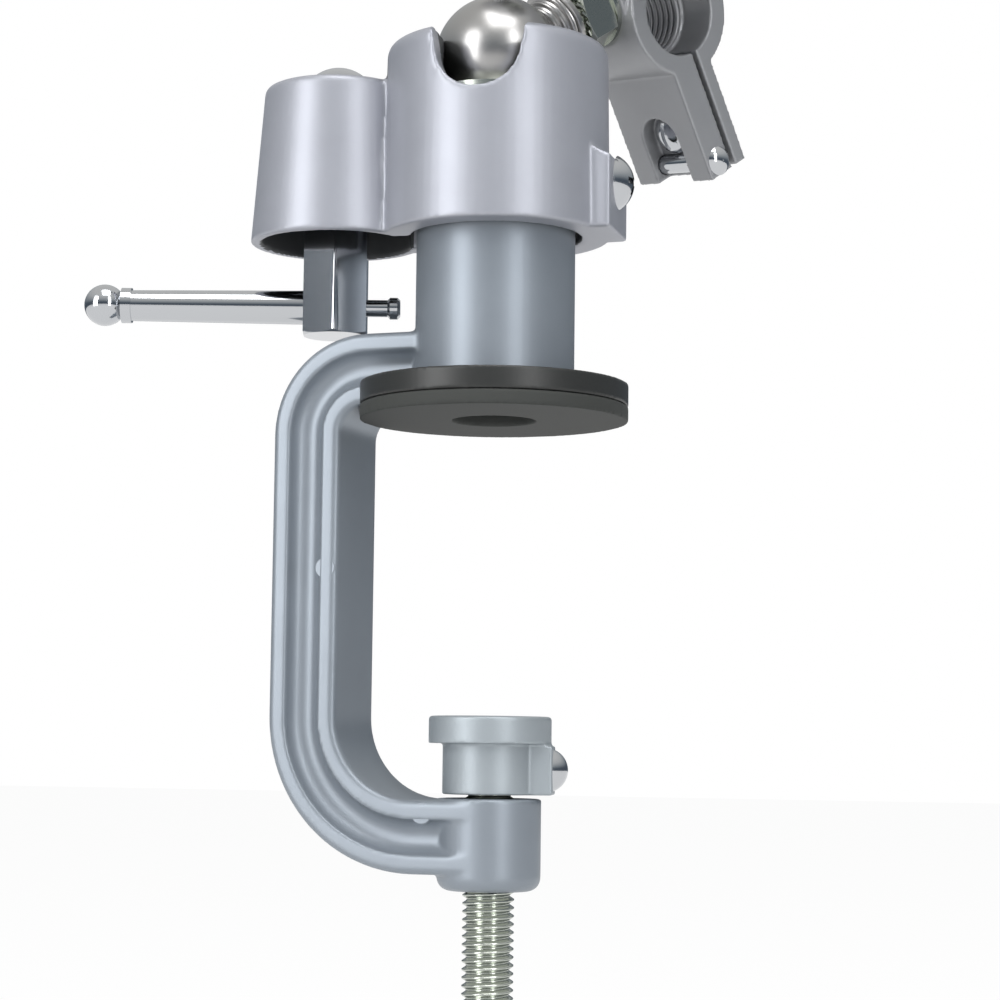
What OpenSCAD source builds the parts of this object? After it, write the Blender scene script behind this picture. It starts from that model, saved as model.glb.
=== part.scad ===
// Bench vise on a screw clamp: a C frame with a post, a swivel housing with a ball joint,
// and a small two-jaw head on the ball's stud. Z is the axis of the post and of the clamp
// screw, and the origin is the centre of the face that rests on the bench.

/* [Bench pad] */
// Radius of the round pad that rests on the bench
pad_r = 21; // [19:0.5:22]
// Thickness of the rubber layer
rubber_t = 2.3; // [1.5:0.1:3]
// Thickness of the plastic disc above the rubber
disc_t = 3.5; // [2.5:0.1:5]
// Radius of the hole in the middle of the pad
pad_hole_r = 6.5; // [4:0.5:8]

/* [Clamp frame] */
// Distance from the screw axis to the inner face of the spine
throat_x = 22.9; // [22.5:0.1:28]
// Thickness of the frame's beam, from inner to outer face
beam_t = 11.3; // [9:0.1:13]
// Width of the frame's beam
beam_w = 16; // [14:0.5:20]
// Radius of the rounded edges of the beam
beam_edge_r = 1; // [0.8:0.1:2.2]
// Radius of the groove along each side of the beam
groove_r = 2.7; // [2:0.1:3.2]
// Outer radius of the upper corner
upper_corner_r = 15.5; // [14:0.5:18]
// Outer radius of the lower corner
lower_corner_r = 24; // [20:0.5:26]
// Height of the lower arm's upper face
lower_arm_z = -58.9; // [-75:0.1:-58.7]
// Outer radius of the hollow post
post_r = 12.5; // [11.5:0.1:13]
// Wall of the hollow post
post_wall = 4; // [3:0.1:4.5]
// Height of the post's top
post_top_z = 41; // [40.6:0.1:42]
// Depth of the ring groove that the guide screw runs in
post_groove_depth = 2; // [1:0.1:2.4]
// Radius of the tapped boss at the end of the lower arm
boss_r = 8; // [7:0.1:10]
// Height of the tapped boss
boss_h = 14.1; // [12:0.1:18]

/* [Clamp screw] */
// Radius of the clamp screw over its thread
clamp_thread_r = 4; // [3.5:0.5:5]
// Pitch of the clamp screw and of the lead screw
thread_pitch = 1.25; // [1:0.05:1.5]
// Height of the presser pad's upper face when the clamp is open
presser_z = -46; // [-47:0.1:-44]
// Radius of the presser pad's flange
presser_r = 9.5; // [8.5:0.1:12]
// Thickness of the presser pad's flange
presser_t = 4.2; // [3:0.1:5]
// Radius of the presser pad's neck
presser_neck_r = 7.3; // [6.5:0.1:8]
// Direction of the lug and screw on the presser pad
presser_turn = 15; // [0:1:60]
// Radius of the clamp screw's head
clamp_head_r = 7; // [6.5:0.1:9]
// Length of the clamp screw's head
clamp_head_h = 12; // [10:0.5:15]
// Length of the clamp screw's cross bar
clamp_bar_l = 64; // [50:1:80]
// Radius of the clamp screw's cross bar
clamp_bar_r = 2.5; // [2:0.1:3]

/* [Swivel housing] */
// Direction of the housing's lobe, counted from the spine
housing_turn = 5; // [-30:1:30]
// Height of the housing's lower face
housing_z = 28.9; // [26:0.1:30]
// Outer radius of the housing at its lower face
housing_r = 17.9; // [17:0.1:19]
// Outer radius of the housing at its rim
housing_top_r = 17.5; // [16.3:0.1:18]
// Distance from the post axis to the lock bolt
lobe_x = 26.4; // [25:0.1:28]
// Outer radius of the lobe at its lower face
lobe_r = 13.7; // [12.8:0.1:14]
// Outer radius of the lobe at its top
lobe_top_r = 11.9; // [10.5:0.1:12.5]
// Height of the lobe's top
lobe_top_z = 54.1; // [53:0.1:55]
// Wall of the lobe
lobe_wall = 1.7; // [1.4:0.1:2.2]
// Reach of the ear from the post axis
ear_x = 19.7; // [18.8:0.1:22]
// Width of the ear
ear_w = 13; // [10:0.5:14]
// Height of the ear
ear_h = 13; // [12:0.5:14]
// Height of the guide screw
guide_z = 37; // [36.5:0.1:37.5]
// Direction of the notch in the rim, counted from the ear
notch_turn = -86.5; // [-95:0.5:-70]
// Width of the notch in the rim at its round bottom
notch_w = 13.2; // [11:0.1:14]
// Height of the notch's lowest point
notch_z = 49.3; // [48:0.1:52]

/* [Lock lever] */
// Size across the flats of the hex lock bolt
bolt_flats = 10; // [9:0.5:11]
// Height of the lock bolt's lower end
bolt_z = 14.2; // [13.8:0.1:16]
// Height of the lever's axis
lever_z = 18.8; // [18.5:0.1:21]
// Direction of the lever
lever_turn = 200; // [150:1:220]
// Distance from the bolt to the centre of the lever's ball end
lever_l = 36.8; // [30:0.1:50]
// Radius of the lever's ball end
lever_ball_r = 3.3; // [3:0.1:4]

/* [Ball joint] */
// Radius of the ball
ball_r = 10; // [9.5:0.1:10.5]
// Height of the ball's centre
ball_z = 57.8; // [57:0.1:59]
// Tilt of the ball's stud from upright
stud_tilt = 56; // [0:1:56]
// Compass direction of the tilt
stud_azimuth = 56; // [0:1:100]
// Turn of the head about its stud
head_turn = 8; // [-90:1:90]

/* [Vise head] */
// Width of the head casting round its eye
head_w = 17.5; // [16:0.5:20]
// Distance from the stud axis to the eye's centre
eye_x = 6.2; // [5.9:0.1:8]
// Distance from the ball's centre to the eye's centre, along the stud
eye_z = 32.3; // [32:0.1:34]
// Outer radius of the eye
eye_r = 10.6; // [10:0.1:12]
// Radius of the eye's tapped bore
eye_bore_r = 6.7; // [6:0.1:7]
// Reach of the forked foot from the stud axis
foot_x = 34.2; // [33.8:0.1:38]
// Width of the jaws
jaw_w = 44; // [40:1:60]
// Thickness of each jaw
jaw_t = 12; // [10:0.5:15]
// Opening between the jaw pads at rest
jaw_gap = 16; // [10:0.5:20]
// How far the moving jaw can open from there
jaw_open = 16.5; // [10:0.5:25]
// Thickness of the jaw pads
jaw_pad_t = 3; // [2.5:0.1:4]
// Radius of the two guide rods
rod_r = 3; // [2.5:0.1:3.5]
// Distance between the guide rods
rod_gap = 30; // [28:1:34]
// Length of the lead screw's cross bar
lead_bar_l = 52; // [40:1:60]
// Radius of the lead screw's cross bar
lead_bar_r = 2.2; // [2:0.1:2.5]

/* [Fits] */
// Radial clearance of a shaft in a bore that it turns or slides in
run_gap = 0.05; // [0.02:0.01:0.1]
// Clearance between pieces that only pass each other
part_gap = 0.3; // [0.2:0.05:0.5]
// Clearance between pieces that are fastened together
seat_gap = 0.02; // [0.01:0.01:0.05]

/* [Hidden] */
$fn = 48;

// Clamp frame, from the bench pad down to the boss
disc_top = rubber_t + disc_t;
arm_top_z = rubber_t + beam_t;
spine_x = throat_x + beam_t;
lower_arm_bottom = lower_arm_z - beam_t;
boss_top = lower_arm_z + 0.3;
boss_bottom = boss_top - boss_h;
boss_edge_r = 2;
post_inner_r = post_r - post_wall;
post_floor_t = 3;
post_edge = 0.6;
guide_shank_r = 2;
guide_slot_h = 2 * guide_shank_r + 0.3;

// Clamp screw, from the presser pad down to the cross bar
thread_depth = 0.7;
presser_h = 12;
presser_bottom = presser_z - presser_h;
presser_travel = -presser_z - part_gap;
presser_bore_top = presser_z - presser_t - 1;
keeper_z = presser_z - 8.2;
keeper_shank_r = 1.5;
keeper_groove_r = 2.6;
keeper_groove_h = 2 * keeper_shank_r + 0.5;
lug_x = 9.9;
lug_root_x = presser_neck_r - 1.7;
lug_w = 7.4;
keeper_head_r = 3.2;
keeper_head_t = 2.2;
clamp_head_top = boss_bottom - presser_travel - 1;
clamp_bar_z = clamp_head_top - clamp_head_h / 2;
clamp_knob_r = clamp_bar_r + 1.7;
knob_cover = 1;

// Swivel housing
rim_z = ball_z + 1.8;
rim_edge_r = 2;
bore_r = post_r + run_gap;
bore_mouth_r = bore_r + 0.9;
bore_mouth_h = 2;
socket_r = ball_r + run_gap;
socket_cone_z = ball_z - 3.6;
roof_z = lobe_top_z - 3;
channel_w = 9.8;
ear_slope = 1.6;
notch_flare = 10;
rocker_t = 2.9;
rocker_w = 9;
rocker_head_r = 6.2;
rocker_z = post_top_z + part_gap;
channel_top = rocker_z + rocker_t + 1.2;
pin_r = 1.5;
pin_x = post_r + pin_r + 1.2;
pin_z = rocker_z - pin_r;
pin_l = 13;
guide_head_r = 4.2;
guide_head_t = 2.4;
guide_tip_x = post_r - post_groove_depth + 0.5;

// Lock bolt and lever
bolt_thread_r = 4;
bolt_neck_r = 3;
hex_top = rocker_z - 6;
neck_z = rocker_z + rocker_t + 1.5;
clip_r = 5.6;
clip_t = 1;
cap_r = 6.4;
cap_drop = 2.7;
lever_root_r = 2.7;
lever_tip_r = 2.45;
lever_tail_r = 1.75;
lever_tail_l = 10.3;
lever_tail_neck_r = 1.35;
lever_step = 1;

// Ball seat and stud, counted along the stud from the ball's centre
seat_z = rocker_z + rocker_t + 0.1;
seat_top = ball_z - 6.4;
seat_r = bore_r - 0.15;
neck_r = 3.6;
neck_end = 9.8;
cone_end = 13.2;
collar_r = 6.2;
collar_end = 14.2;
stud_r = 4;
toothed_t = 0.8;
toothed_r = 6.7;
nut_flats = 13;
nut_end = 21;
washer_t = 1;
washer_r = 7;
face_z = nut_end + washer_t;
stud_end = face_z + 3.2;

// Head casting
stud_boss_r = 7.5;
eye_recess_r = eye_bore_r + 0.6;
eye_recess_l = 6.6;
slit_w = 1;
foot_low = eye_z - 5.8;
foot_high = eye_z + 3;
foot_root_x = eye_x + 8;
slot_w = 8;
slot_x = 26.5;
pinch_x = slot_x;
pinch_head_r = 3.6;
pinch_head_t = 2.2;
pinch_shank_r = 2;
pocket_h = 3;
cross_x = foot_x - 2.3;
cross_z = foot_low + 2.9;
cross_pin_r = 1.6;
cross_head_r = 2.4;
cross_head_t = 1.1;

// Jaws, counted against the foot's direction
jaw_low = face_z + 2;
jaw_high = face_z + 34;
fixed_back = 4;
fixed_face = fixed_back + jaw_t - 1;
fixed_pad_face = fixed_face + jaw_pad_t;
moving_pad_face = fixed_pad_face + jaw_gap;
moving_face = moving_pad_face + jaw_pad_t;
moving_back = moving_face + jaw_t;
plate_face = moving_back + jaw_open + 0.5;
plate_t = 6;
plate_back = plate_face + plate_t;
axis_z = face_z + 9;
plate_low = axis_z - 6;
plate_high = axis_z + 6;
plate_w = rod_gap + 4 * rod_r;
rod_inset = fixed_back + 2;
rod_end = plate_back - 1;
lead_r = 4;
journal_r = 3;
journal_end = fixed_back + 3;
lead_washer_t = 1;
lead_head_face = plate_back + lead_washer_t;
lead_head_r = 6.5;
lead_head_l = 11;
lead_bar_x = lead_head_face + lead_head_l / 2;
lead_knob_r = lead_bar_r + 1.4;
lead_bar_turn = atan2(-sin(stud_tilt) * sin(head_turn), cos(stud_tilt));
small_screw_r = 1.5;
small_head_r = 2.8;
pad_low = axis_z + 8;
pad_high = jaw_high;
pad_screw_y = 14;
pad_screw_z = (pad_low + pad_high) / 2;
pad_screw_l = 8;
vee_d = 1.2;

cast_grey = [0.55, 0.59, 0.62];
paint_grey = [0.66, 0.67, 0.70];
chrome = [0.78, 0.79, 0.80];
zinc = [0.72, 0.74, 0.70];
rubber_black = [0.16, 0.16, 0.16];
dark_plastic = [0.19, 0.20, 0.20];
pad_grey = [0.25, 0.26, 0.27];

// A bar with half-round ribs cut as closed rings, standing on z = low
module ribbed_rod(r, low, high) {
    turns = floor((high - low) / thread_pitch);
    rest = high - low - turns * thread_pitch;
    flank = thread_pitch * 0.3;
    rotate_extrude() polygon(concat([[0, low]],
        [for (i = [0:turns - 1], p = [[r - thread_depth, 0], [r, flank],
            [r, thread_pitch - 2 * flank], [r - thread_depth, thread_pitch - flank]])
            [p[0], low + i * thread_pitch + p[1]]],
        [[r - thread_depth, high - rest], [r - thread_depth, high], [0, high]]));
}

// Quarter-round profile of a cylinder with one rounded end at z = high
module round_end_cylinder(r1, r2, low, high, edge) {
    rotate_extrude() polygon(concat([[0, low], [r1, low]],
        [for (a = [0:15:90]) [r2 - edge + edge * cos(a), high - edge + edge * sin(a)]],
        [[0, high]]));
}

// Cut of a cross-recess driver, pointing down from the origin
module cross_recess(size, depth) {
    for (a = [0, 90]) rotate([0, 0, a])
        translate([-size, -size / 4, -depth]) cube([2 * size, size / 2, 2 * depth]);
}

// Low round screw head standing on the origin
module round_head(r, t) {
    sphere_r = (r * r + t * t) / (2 * t);
    intersection() {
        cylinder(r = r, h = t);
        translate([0, 0, t - sphere_r]) sphere(sphere_r);
    }
}

// Cross section of the beam: x runs from its inner face outwards
module beam_section() {
    difference() {
        union() {
            translate([beam_edge_r, -beam_w / 2]) square([beam_t - 2 * beam_edge_r, beam_w]);
            translate([0, beam_edge_r - beam_w / 2]) square([beam_t, beam_w - 2 * beam_edge_r]);
            for (u = [beam_edge_r, beam_t - beam_edge_r], s = [-1, 1])
                translate([u, s * (beam_w / 2 - beam_edge_r)]) circle(beam_edge_r);
        }
        for (s = [-1, 1]) translate([beam_t / 2, s * beam_w / 2]) circle(groove_r);
    }
}

module beam_corner(outer_r, from) {
    rotate([90, 0, 0]) rotate([0, 0, from]) rotate_extrude(angle = 90)
        translate([outer_r - beam_t, 0]) beam_section();
}

module beam_arm(length) {
    rotate([0, 90, 0]) linear_extrude(length) rotate([0, 0, 180]) beam_section();
}

module post_outline() {
    difference() {
        translate([0, rubber_t]) square([post_r, post_top_z - rubber_t]);
        translate([post_r - post_groove_depth, guide_z - guide_slot_h / 2])
            square([post_groove_depth + 1, guide_slot_h]);
        translate([post_r, post_top_z]) rotate([0, 0, 45])
            square(post_edge * sqrt(2), center = true);
    }
}

module clamp_frame() color(cast_grey) {
    difference() {
        union() {
            rotate_extrude() post_outline();
            translate([upper_corner_r - spine_x, 0, rubber_t])
                beam_arm(spine_x - upper_corner_r);
            translate([upper_corner_r - spine_x, 0, arm_top_z - upper_corner_r])
                beam_corner(upper_corner_r, 90);
            translate([-throat_x, 0, lower_arm_bottom + lower_corner_r]) rotate([0, 0, 180])
                linear_extrude(arm_top_z - upper_corner_r - lower_arm_bottom - lower_corner_r)
                    beam_section();
            translate([lower_corner_r - spine_x, 0, lower_arm_bottom + lower_corner_r])
                beam_corner(lower_corner_r, 180);
            translate([lower_corner_r - spine_x, 0, lower_arm_z]) mirror([0, 0, 1])
                beam_arm(spine_x - lower_corner_r);
            mirror([0, 0, 1])
                round_end_cylinder(boss_r, boss_r, -boss_top, -boss_bottom, boss_edge_r);
        }
        translate([0, 0, rubber_t + post_floor_t]) cylinder(r = post_inner_r, h = post_top_z);
        translate([0, 0, rubber_t - 1]) cylinder(r = pad_hole_r, h = post_floor_t + 2);
        translate([0, 0, -1]) cylinder(r = pad_r + seat_gap, h = rubber_t + 1);
        translate([0, 0, boss_bottom - 1])
            cylinder(r = clamp_thread_r + run_gap, h = boss_h + 2);
    }
}

module pad_disc() color(dark_plastic) {
    difference() {
        translate([0, 0, rubber_t]) cylinder(r = pad_r, h = disc_t);
        translate([0, 0, rubber_t - 1]) cylinder(r = post_r + seat_gap, h = disc_t + 2);
        translate([-2 * pad_r, -beam_w / 2 - part_gap, rubber_t - 1])
            cube([2 * pad_r, beam_w + 2 * part_gap, disc_t + 2]);
    }
}

module bench_pad() color(rubber_black) {
    difference() {
        cylinder(r = pad_r, h = rubber_t);
        translate([0, 0, -1]) cylinder(r = pad_hole_r, h = rubber_t + 2);
    }
}

module presser_pad() color(cast_grey) {
    difference() {
        union() {
            round_end_cylinder(presser_r, presser_r, presser_z - presser_t, presser_z, 0.5);
            translate([0, 0, presser_bottom]) cylinder(r = presser_neck_r, h = presser_h - 1);
            rotate([0, 0, presser_turn]) translate([lug_root_x, -lug_w / 2, presser_bottom])
                cube([lug_x - lug_root_x, lug_w, presser_h - presser_t - part_gap]);
        }
        translate([0, 0, presser_bottom - 1])
            cylinder(r = clamp_thread_r + run_gap, h = presser_bore_top - presser_bottom + 1);
        translate([0, 0, keeper_z]) rotate([0, 0, presser_turn]) rotate([0, 90, 0])
            cylinder(r = keeper_shank_r + seat_gap, h = 2 * lug_x);
    }
}

module presser_screw() color(chrome) {
    translate([0, 0, keeper_z]) rotate([0, 0, presser_turn]) rotate([0, 90, 0]) {
        translate([0, 0, keeper_groove_r + part_gap])
            cylinder(r = keeper_shank_r, h = lug_x - keeper_groove_r);
        translate([0, 0, lug_x]) round_head(keeper_head_r, keeper_head_t);
    }
}

module clamp_screw() color(zinc) {
    tip_z = presser_bore_top - part_gap;
    groove_low = keeper_z - keeper_groove_h / 2;
    difference() {
        union() {
            translate([0, 0, groove_low - 1]) cylinder(r = clamp_thread_r,
                h = tip_z - groove_low + 1);
            ribbed_rod(clamp_thread_r, clamp_head_top - 1, groove_low - 0.5);
            translate([0, 0, clamp_head_top - clamp_head_h])
                cylinder(r = clamp_head_r, h = clamp_head_h);
        }
        translate([0, 0, groove_low]) difference() {
            cylinder(r = 2 * clamp_thread_r, h = keeper_groove_h);
            translate([0, 0, -1]) cylinder(r = keeper_groove_r, h = keeper_groove_h + 2);
        }
        translate([0, 0, clamp_bar_z]) rotate([90, 0, 0])
            cylinder(r = clamp_bar_r + run_gap, h = 3 * clamp_head_r, center = true);
    }
}

module clamp_bar() color(chrome) {
    translate([0, 0, clamp_bar_z]) rotate([90, 0, 0])
        cylinder(r = clamp_bar_r, h = clamp_bar_l, center = true);
}

// Ball knob whose blind bore opens downwards and ends at the origin
module knob(bar_r, knob_r) {
    difference() {
        translate([0, 0, knob_cover - knob_r]) sphere(knob_r);
        translate([0, 0, -2 * knob_r]) cylinder(r = bar_r + seat_gap, h = 2 * knob_r);
    }
}

module clamp_bar_knobs() color(chrome) {
    for (s = [0, 180]) translate([0, 0, clamp_bar_z]) rotate([90, 0, s])
        translate([0, 0, clamp_bar_l / 2]) knob(clamp_bar_r, clamp_knob_r);
}

// Everything on the housing is drawn with the lobe at -X and the ear at +X
module on_housing() rotate([0, 0, housing_turn]) children();

module housing_outside() {
    round_end_cylinder(housing_r, housing_top_r, housing_z, rim_z, rim_edge_r);
    translate([-lobe_x, 0, 0])
        round_end_cylinder(lobe_r, lobe_top_r, housing_z, lobe_top_z, 1.2);
    rotate([90, 0, 0]) linear_extrude(ear_w, center = true) polygon([
        [post_r + 1, housing_z], [ear_x, housing_z], [ear_x, housing_z + ear_h - ear_slope],
        [housing_top_r - 1, housing_z + ear_h], [post_r + 1, housing_z + ear_h]]);
}

// Round-bottomed notch with flared sides, drawn with its lowest point at the origin
module notch_outline() {
    r = notch_w / 2;
    side = [r * cos(notch_flare), r - r * sin(notch_flare)];
    lean = tan(notch_flare) * notch_w;
    translate([0, r]) circle(r);
    polygon([[-side[0], side[1]], side, [side[0] + lean, side[1] + notch_w],
        [-side[0] - lean, side[1] + notch_w]]);
}

module housing_inside() {
    low = housing_z - 1;
    translate([0, 0, low]) cylinder(r = bore_r, h = socket_cone_z - low);
    translate([0, 0, low]) cylinder(r = bore_mouth_r, h = bore_mouth_h + 1);
    translate([0, 0, socket_cone_z])
        cylinder(r1 = bore_r, r2 = socket_r, h = ball_z - socket_cone_z);
    translate([0, 0, ball_z]) sphere(socket_r);
    translate([-lobe_x, 0, low]) cylinder(r1 = lobe_r - lobe_wall, r2 = lobe_top_r - lobe_wall,
        h = roof_z - low);
    translate([-lobe_x, -channel_w / 2, low]) cube([lobe_x, channel_w, channel_top - low]);
    translate([-lobe_x, 0, roof_z - 1]) cylinder(r = bolt_neck_r + run_gap, h = 6);
    translate([-pin_x, 0, pin_z]) rotate([90, 0, 0])
        cylinder(r = pin_r + seat_gap, h = pin_l + seat_gap, center = true);
    translate([0, 0, guide_z]) rotate([0, 90, 0])
        cylinder(r = guide_shank_r + seat_gap, h = 2 * ear_x);
    translate([0, 0, notch_z]) rotate([90, 0, notch_turn + 90])
        linear_extrude(2 * housing_r) notch_outline();
}

module swivel_housing() color(paint_grey) on_housing() difference() {
    housing_outside();
    housing_inside();
}

module guide_screw() color(chrome) on_housing() {
    translate([0, 0, guide_z]) rotate([0, 90, 0]) {
        translate([0, 0, guide_tip_x])
            cylinder(r = guide_shank_r, h = ear_x - guide_tip_x);
        translate([0, 0, ear_x]) difference() {
            round_head(guide_head_r, guide_head_t);
            translate([0, 0, guide_head_t]) cross_recess(2, 1.2);
        }
    }
}

module rocker_arm() color(cast_grey) on_housing() {
    difference() {
        translate([0, 0, rocker_z]) union() {
            translate([-lobe_x, -rocker_w / 2, 0]) cube([lobe_x, rocker_w, rocker_t]);
            translate([-lobe_x, 0, 0]) cylinder(r = rocker_head_r, h = rocker_t);
            cylinder(r = post_r - 2, h = rocker_t);
        }
        translate([-lobe_x, 0, rocker_z - 1])
            cylinder(r = bolt_thread_r + run_gap, h = rocker_t + 2);
    }
}

module fulcrum_pin() color(chrome) on_housing() {
    translate([-pin_x, 0, pin_z]) rotate([90, 0, 0])
        cylinder(r = pin_r, h = pin_l - seat_gap, center = true);
}

module at_bolt() on_housing() translate([-lobe_x, 0, 0]) children();

module along_lever() {
    at_bolt() translate([0, 0, lever_z]) rotate([0, 0, lever_turn - housing_turn])
        rotate([0, 90, 0]) children();
}

module lock_bolt() color(chrome) difference() {
    at_bolt() {
        intersection() {
            translate([0, 0, bolt_z]) rotate([0, 0, lever_turn - housing_turn + 30])
                cylinder(r = bolt_flats / sqrt(3), h = hex_top - bolt_z, $fn = 6);
            translate([0, 0, bolt_z]) cylinder(r1 = bolt_flats / 2,
                r2 = bolt_flats / 2 + 2 * (hex_top - bolt_z), h = hex_top - bolt_z);
        }
        ribbed_rod(bolt_thread_r, hex_top - 1, neck_z);
        translate([0, 0, neck_z - 1]) cylinder(r = bolt_neck_r, h = lobe_top_z + 3 - neck_z);
    }
    along_lever() translate([0, 0, -bolt_flats]) {
        cylinder(r = lever_tail_r + seat_gap, h = 2 * bolt_flats);
        translate([0, 0, bolt_flats - lever_step])
            cylinder(r = lever_root_r + seat_gap, h = bolt_flats);
    }
}

module bolt_clip() color(chrome) at_bolt() difference() {
    translate([0, 0, roof_z - part_gap - clip_t]) cylinder(r = clip_r, h = clip_t);
    translate([0, 0, roof_z - 3]) cylinder(r = bolt_neck_r + seat_gap, h = 4);
}

module bolt_cap() color(chrome) at_bolt() difference() {
    intersection() {
        translate([0, 0, lobe_top_z - cap_drop]) sphere(cap_r);
        translate([0, 0, lobe_top_z + run_gap]) cylinder(r = cap_r, h = cap_r);
    }
    cylinder(r = bolt_neck_r + seat_gap, h = lobe_top_z + 2 + seat_gap);
}

module lock_lever() color(chrome) along_lever() {
    neck_l = lever_l - lever_ball_r - 1;
    tail_edge = lever_tail_r - lever_tail_neck_r;
    tail_low = -lever_tail_l;
    rotate_extrude() polygon([[0, tail_low], [lever_tail_neck_r, tail_low],
        [lever_tail_r, tail_low + tail_edge], [lever_tail_r, tail_low + 4 * tail_edge],
        [lever_tail_neck_r, tail_low + 5 * tail_edge], [lever_tail_neck_r, -bolt_flats / 2],
        [lever_tail_r, -bolt_flats / 2], [lever_tail_r, seat_gap - lever_step],
        [lever_root_r, seat_gap - lever_step], [lever_root_r, bolt_flats / 2],
        [lever_tip_r, neck_l], [lever_ball_r - 0.5, neck_l],
        [lever_ball_r - 0.5, neck_l + 1.6], [0, neck_l + 1.6]]);
    translate([0, 0, lever_l]) sphere(lever_ball_r);
}

module ball_seat() color(zinc) difference() {
    translate([0, 0, seat_z]) cylinder(r = seat_r, h = seat_top - seat_z);
    translate([0, 0, ball_z]) sphere(socket_r);
}

// Everything past the ball is drawn along +Z from the ball's centre
module on_stud() {
    translate([0, 0, ball_z]) rotate([0, 0, stud_azimuth]) rotate([0, stud_tilt, 0])
        rotate([0, 0, head_turn]) children();
}

module ball_stud() color(chrome) on_stud() {
    sphere(ball_r);
    cylinder(r = neck_r, h = neck_end);
    translate([0, 0, neck_end]) cylinder(r1 = neck_r, r2 = collar_r, h = cone_end - neck_end);
    translate([0, 0, cone_end]) cylinder(r = collar_r, h = collar_end - cone_end);
    translate([0, 0, collar_end - 1]) cylinder(r = stud_r, h = stud_end - collar_end + 1);
}

module toothed_washer() color(zinc) on_stud() translate([0, 0, collar_end]) difference() {
    union() {
        cylinder(r = toothed_r - 0.5, h = toothed_t);
        for (a = [0:30:330]) rotate([0, 0, a])
            translate([toothed_r - 1.2, -0.6, 0]) cube([1.2, 1.2, toothed_t]);
    }
    translate([0, 0, -1]) cylinder(r = stud_r + run_gap, h = toothed_t + 2);
}

module jam_nut() color(zinc) on_stud() difference() {
    low = collar_end + toothed_t;
    height = nut_end - low;
    intersection() {
        translate([0, 0, low]) cylinder(r = nut_flats / sqrt(3), h = height, $fn = 6);
        translate([0, 0, low]) cylinder(r1 = nut_flats / 2, r2 = nut_flats / 2 + 2 * height,
            h = height);
        translate([0, 0, low]) cylinder(r2 = nut_flats / 2, r1 = nut_flats / 2 + 2 * height,
            h = height);
    }
    translate([0, 0, low - 1]) cylinder(r = stud_r + run_gap, h = height + 2);
}

module stud_washer() color(zinc) on_stud() translate([0, 0, nut_end]) difference() {
    cylinder(r = washer_r, h = washer_t);
    translate([0, 0, -1]) cylinder(r = stud_r + run_gap, h = washer_t + 2);
}

module head_solid() {
    translate([eye_x, 0, eye_z]) rotate([90, 0, 0])
        cylinder(r = eye_r, h = head_w, center = true);
    translate([0, 0, face_z]) cylinder(r = stud_boss_r, h = eye_z - face_z);
    translate([foot_root_x, -head_w / 2, foot_low])
        cube([foot_x - foot_root_x, head_w, foot_high - foot_low]);
    translate([-fixed_face, -jaw_w / 2, jaw_low])
        cube([fixed_face - fixed_back, jaw_w, jaw_high - jaw_low]);
    translate([-fixed_back - 1, -head_w / 2, jaw_low])
        cube([eye_x + fixed_back + 1, head_w, eye_z + eye_r - 1 - jaw_low]);
}

module head_cuts() {
    translate([eye_x, 0, eye_z]) rotate([90, 0, 0]) {
        cylinder(r = eye_bore_r, h = 2 * head_w, center = true);
        translate([0, 0, head_w / 2 - eye_recess_l]) cylinder(r = eye_recess_r, h = head_w);
    }
    translate([eye_x, -head_w, eye_z - slit_w / 2]) cube([foot_x, 2 * head_w, slit_w]);
    translate([0, 0, face_z - 1]) cylinder(r = stud_r + run_gap, h = stud_end - face_z + 1.1);
    translate([0, 0, face_z - washer_t]) cylinder(r = washer_r + part_gap, h = washer_t);
    translate([slot_x, -slot_w / 2, foot_low - 1]) cube([foot_x, slot_w, pocket_h + 1]);
    translate([slot_x, 0, foot_low - 1]) cylinder(r = slot_w / 2, h = pocket_h + 1);
    translate([pinch_x, 0, foot_low])
        cylinder(r = pinch_shank_r + seat_gap, h = 2 * (foot_high - foot_low));
    translate([cross_x, 0, cross_z]) rotate([90, 0, 0])
        cylinder(r = cross_pin_r + seat_gap, h = 2 * head_w, center = true);
    for (s = [-1, 1]) translate([-rod_inset, s * rod_gap / 2, axis_z]) rotate([0, -90, 0])
        cylinder(r = rod_r + seat_gap, h = jaw_t);
    translate([-journal_end, 0, axis_z]) rotate([0, -90, 0])
        cylinder(r = journal_r + run_gap, h = jaw_t);
    for (s = [-1, 1]) translate([-fixed_face + pad_screw_l - jaw_pad_t, s * pad_screw_y,
        pad_screw_z]) rotate([0, -90, 0])
        cylinder(r = small_screw_r + seat_gap, h = pad_screw_l);
}

module head_casting() color(cast_grey) on_stud() difference() {
    head_solid();
    head_cuts();
}

module pinch_screw() color(chrome) on_stud() translate([pinch_x, 0, 0]) {
    seat = foot_low + pocket_h;
    translate([0, 0, seat]) cylinder(r = pinch_shank_r, h = foot_high - seat - 0.5);
    translate([0, 0, seat]) mirror([0, 0, 1]) difference() {
        round_head(pinch_head_r, pinch_head_t);
        translate([-pinch_head_r, -0.4, pinch_head_t - 0.9]) cube([2 * pinch_head_r, 0.8, 2]);
    }
}

module keeper_pin() color(chrome) on_stud() translate([cross_x, 0, cross_z]) {
    translate([0, head_w / 2 - 0.5, 0]) rotate([90, 0, 0])
        cylinder(r = cross_pin_r, h = head_w - 0.5);
    translate([0, -head_w / 2, 0]) rotate([90, 0, 0]) round_head(cross_head_r, cross_head_t);
}

// Things on the jaw side are drawn along +Z of a frame that points away from the foot
module jaw_side(y, z) on_stud() translate([0, y, z]) rotate([0, -90, 0]) children();

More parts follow.
